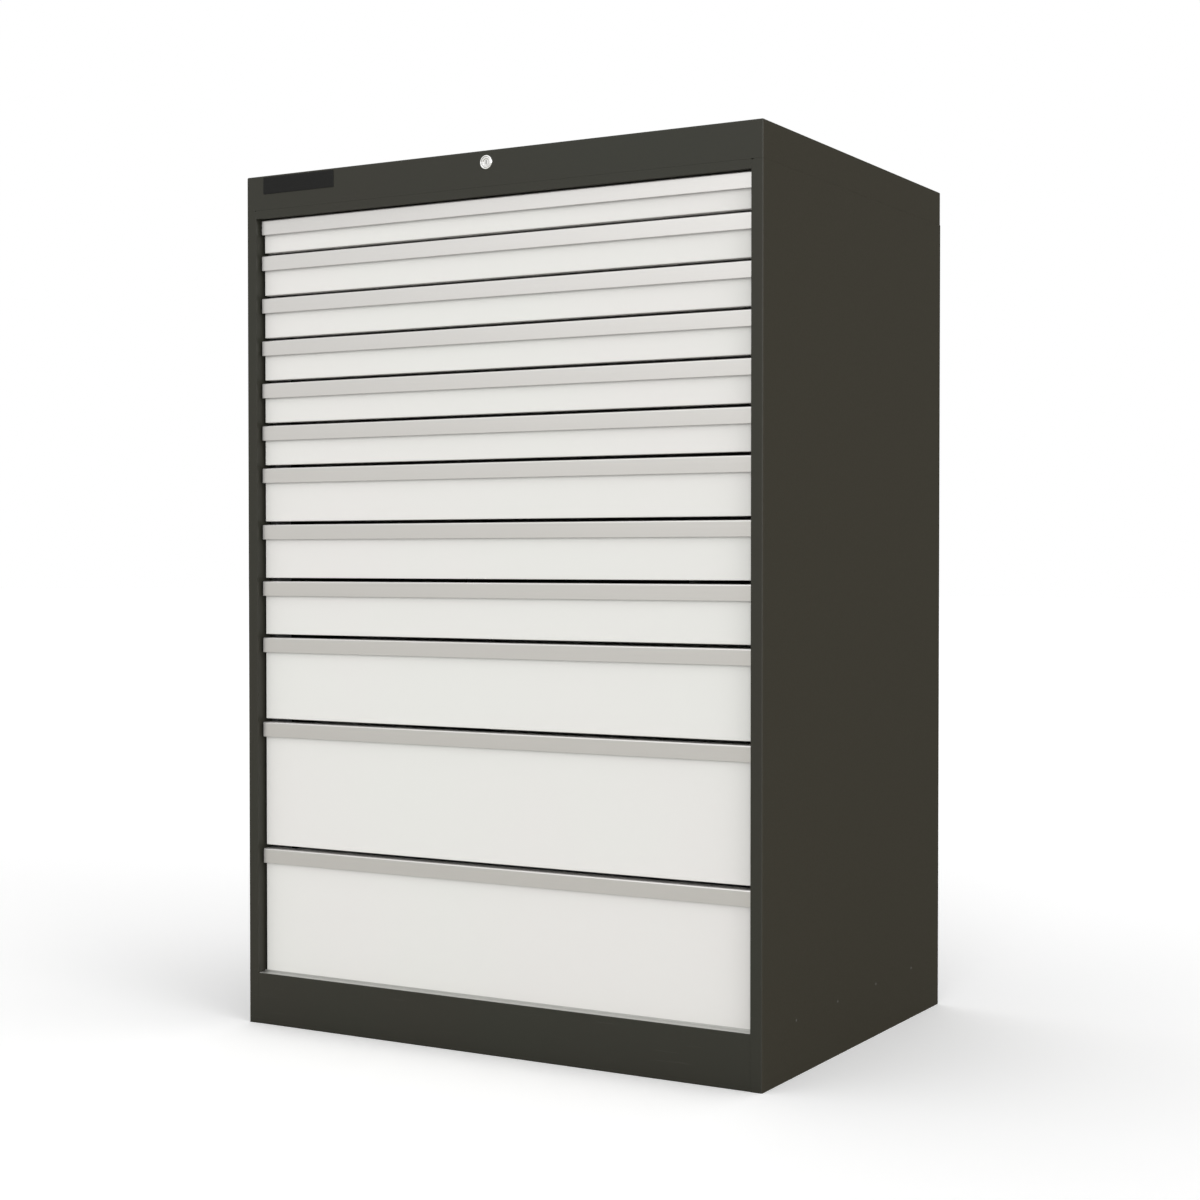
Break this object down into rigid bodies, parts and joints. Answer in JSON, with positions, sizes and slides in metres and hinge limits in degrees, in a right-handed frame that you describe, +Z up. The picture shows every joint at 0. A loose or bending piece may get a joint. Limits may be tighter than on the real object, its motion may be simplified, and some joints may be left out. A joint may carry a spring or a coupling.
{
  "type": "heavy-duty drawer cabinet",
  "caption": "Tall sheet-steel drawer cabinet with full-width handles, drawers of graded height on telescopic roller runners, and one lock that bars them all.",
  "frame": {"origin": "on the floor, under the middle of the housing", "axes": "+Z up, +X to the right seen from the front, +Y from the front to the back; the drawers open towards -Y"},
  "size_m": [1.01, 0.757, 1.5],
  "materials": {
    "housing_paint": "fine-texture powder coat, dark bronze grey",
    "drawer_paint": "smooth powder coat, near white",
    "handle_aluminium": "satin anodised extrusion",
    "runner_steel": "bright zinc-plated steel",
    "lock_chrome": "polished nickel-chrome"
  },
  "bodies": {
    "housing": {"left_side_panel": "housing_paint", "right_side_panel": "housing_paint", "back_panel": "housing_paint", "top_cap": "housing_paint", "header_rail": "housing_paint", "plinth_rail": "housing_paint", "floor_pan": "housing_paint", "left_base_rail": "housing_paint", "right_base_rail": "housing_paint", "rear_base_rail": "housing_paint", "front_uprights": "runner_steel", "rear_uprights": "runner_steel", "left_runners": "runner_steel", "right_runners": "runner_steel", "lock_bar_guides": "runner_steel", "shaft_bearing": "runner_steel", "lock_nut": "runner_steel", "lock_barrel": "lock_chrome"},
    "drawer_01": {"drawer_01_tray": "drawer_paint", "drawer_01_handle": "handle_aluminium"},
    "carriage_01": {"drawer_01_carriage": "runner_steel"},
    "drawer_02": {"drawer_02_tray": "drawer_paint", "drawer_02_handle": "handle_aluminium"},
    "carriage_02": {"drawer_02_carriage": "runner_steel"},
    "drawer_03": {"drawer_03_tray": "drawer_paint", "drawer_03_handle": "handle_aluminium"},
    "carriage_03": {"drawer_03_carriage": "runner_steel"},
    "drawer_04": {"drawer_04_tray": "drawer_paint", "drawer_04_handle": "handle_aluminium"},
    "carriage_04": {"drawer_04_carriage": "runner_steel"},
    "drawer_05": {"drawer_05_tray": "drawer_paint", "drawer_05_handle": "handle_aluminium"},
    "carriage_05": {"drawer_05_carriage": "runner_steel"},
    "drawer_06": {"drawer_06_tray": "drawer_paint", "drawer_06_handle": "handle_aluminium"},
    "carriage_06": {"drawer_06_carriage": "runner_steel"},
    "drawer_07": {"drawer_07_tray": "drawer_paint", "drawer_07_handle": "handle_aluminium"},
    "carriage_07": {"drawer_07_carriage": "runner_steel"},
    "drawer_08": {"drawer_08_tray": "drawer_paint", "drawer_08_handle": "handle_aluminium"},
    "carriage_08": {"drawer_08_carriage": "runner_steel"},
    "drawer_09": {"drawer_09_tray": "drawer_paint", "drawer_09_handle": "handle_aluminium"},
    "carriage_09": {"drawer_09_carriage": "runner_steel"},
    "drawer_10": {"drawer_10_tray": "drawer_paint", "drawer_10_handle": "handle_aluminium"},
    "carriage_10": {"drawer_10_carriage": "runner_steel"},
    "drawer_11": {"drawer_11_tray": "drawer_paint", "drawer_11_handle": "handle_aluminium"},
    "carriage_11": {"drawer_11_carriage": "runner_steel"},
    "drawer_12": {"drawer_12_tray": "drawer_paint", "drawer_12_handle": "handle_aluminium"},
    "carriage_12": {"drawer_12_carriage": "runner_steel"},
    "lock_cylinder": {"lock_plug": "lock_chrome", "lock_shaft": "runner_steel", "lock_crank": "runner_steel"},
    "lock_bar": {"lock_bar": "runner_steel"}
  },
  "joints": [
    {"name": "drawer_01_slide", "type": "slide", "parent": "housing", "child": "drawer_01", "axis": [0, -1, 0], "range_m": [0, 0.67]},
    {"name": "carriage_01_slide", "type": "slide", "parent": "housing", "child": "carriage_01", "axis": [0, -1, 0], "range_m": [0, 0.335]},
    {"name": "drawer_02_slide", "type": "slide", "parent": "housing", "child": "drawer_02", "axis": [0, -1, 0], "range_m": [0, 0.67]},
    {"name": "carriage_02_slide", "type": "slide", "parent": "housing", "child": "carriage_02", "axis": [0, -1, 0], "range_m": [0, 0.335]},
    {"name": "drawer_03_slide", "type": "slide", "parent": "housing", "child": "drawer_03", "axis": [0, -1, 0], "range_m": [0, 0.67]},
    {"name": "carriage_03_slide", "type": "slide", "parent": "housing", "child": "carriage_03", "axis": [0, -1, 0], "range_m": [0, 0.335]},
    {"name": "drawer_04_slide", "type": "slide", "parent": "housing", "child": "drawer_04", "axis": [0, -1, 0], "range_m": [0, 0.67]},
    {"name": "carriage_04_slide", "type": "slide", "parent": "housing", "child": "carriage_04", "axis": [0, -1, 0], "range_m": [0, 0.335]},
    {"name": "drawer_05_slide", "type": "slide", "parent": "housing", "child": "drawer_05", "axis": [0, -1, 0], "range_m": [0, 0.67]},
    {"name": "carriage_05_slide", "type": "slide", "parent": "housing", "child": "carriage_05", "axis": [0, -1, 0], "range_m": [0, 0.335]},
    {"name": "drawer_06_slide", "type": "slide", "parent": "housing", "child": "drawer_06", "axis": [0, -1, 0], "range_m": [0, 0.67]},
    {"name": "carriage_06_slide", "type": "slide", "parent": "housing", "child": "carriage_06", "axis": [0, -1, 0], "range_m": [0, 0.335]},
    {"name": "drawer_07_slide", "type": "slide", "parent": "housing", "child": "drawer_07", "axis": [0, -1, 0], "range_m": [0, 0.67]},
    {"name": "carriage_07_slide", "type": "slide", "parent": "housing", "child": "carriage_07", "axis": [0, -1, 0], "range_m": [0, 0.335]},
    {"name": "drawer_08_slide", "type": "slide", "parent": "housing", "child": "drawer_08", "axis": [0, -1, 0], "range_m": [0, 0.67]},
    {"name": "carriage_08_slide", "type": "slide", "parent": "housing", "child": "carriage_08", "axis": [0, -1, 0], "range_m": [0, 0.335]},
    {"name": "drawer_09_slide", "type": "slide", "parent": "housing", "child": "drawer_09", "axis": [0, -1, 0], "range_m": [0, 0.67]},
    {"name": "carriage_09_slide", "type": "slide", "parent": "housing", "child": "carriage_09", "axis": [0, -1, 0], "range_m": [0, 0.335]},
    {"name": "drawer_10_slide", "type": "slide", "parent": "housing", "child": "drawer_10", "axis": [0, -1, 0], "range_m": [0, 0.67]},
    {"name": "carriage_10_slide", "type": "slide", "parent": "housing", "child": "carriage_10", "axis": [0, -1, 0], "range_m": [0, 0.335]},
    {"name": "drawer_11_slide", "type": "slide", "parent": "housing", "child": "drawer_11", "axis": [0, -1, 0], "range_m": [0, 0.67]},
    {"name": "carriage_11_slide", "type": "slide", "parent": "housing", "child": "carriage_11", "axis": [0, -1, 0], "range_m": [0, 0.335]},
    {"name": "drawer_12_slide", "type": "slide", "parent": "housing", "child": "drawer_12", "axis": [0, -1, 0], "range_m": [0, 0.67]},
    {"name": "carriage_12_slide", "type": "slide", "parent": "housing", "child": "carriage_12", "axis": [0, -1, 0], "range_m": [0, 0.335]},
    {"name": "lock_turn", "type": "hinge", "parent": "housing", "child": "lock_cylinder", "pos_m": [0, 0, 1.48], "axis": [0, 1, 0], "range_deg": [0, 90]},
    {"name": "lock_bar_lift", "type": "slide", "parent": "housing", "child": "lock_bar", "axis": [0, 0, 1], "range_m": [0, 0.01555]}
  ],
  "couplings": [
    {"joint": "carriage_01_slide", "follows": "drawer_01_slide", "ratio": 0.5},
    {"joint": "carriage_02_slide", "follows": "drawer_02_slide", "ratio": 0.5},
    {"joint": "carriage_03_slide", "follows": "drawer_03_slide", "ratio": 0.5},
    {"joint": "carriage_04_slide", "follows": "drawer_04_slide", "ratio": 0.5},
    {"joint": "carriage_05_slide", "follows": "drawer_05_slide", "ratio": 0.5},
    {"joint": "carriage_06_slide", "follows": "drawer_06_slide", "ratio": 0.5},
    {"joint": "carriage_07_slide", "follows": "drawer_07_slide", "ratio": 0.5},
    {"joint": "carriage_08_slide", "follows": "drawer_08_slide", "ratio": 0.5},
    {"joint": "carriage_09_slide", "follows": "drawer_09_slide", "ratio": 0.5},
    {"joint": "carriage_10_slide", "follows": "drawer_10_slide", "ratio": 0.5},
    {"joint": "carriage_11_slide", "follows": "drawer_11_slide", "ratio": 0.5},
    {"joint": "carriage_12_slide", "follows": "drawer_12_slide", "ratio": 0.5},
    {"joint": "lock_turn", "follows": "lock_bar_lift", "rad_per_m": 101.01}
  ]
}
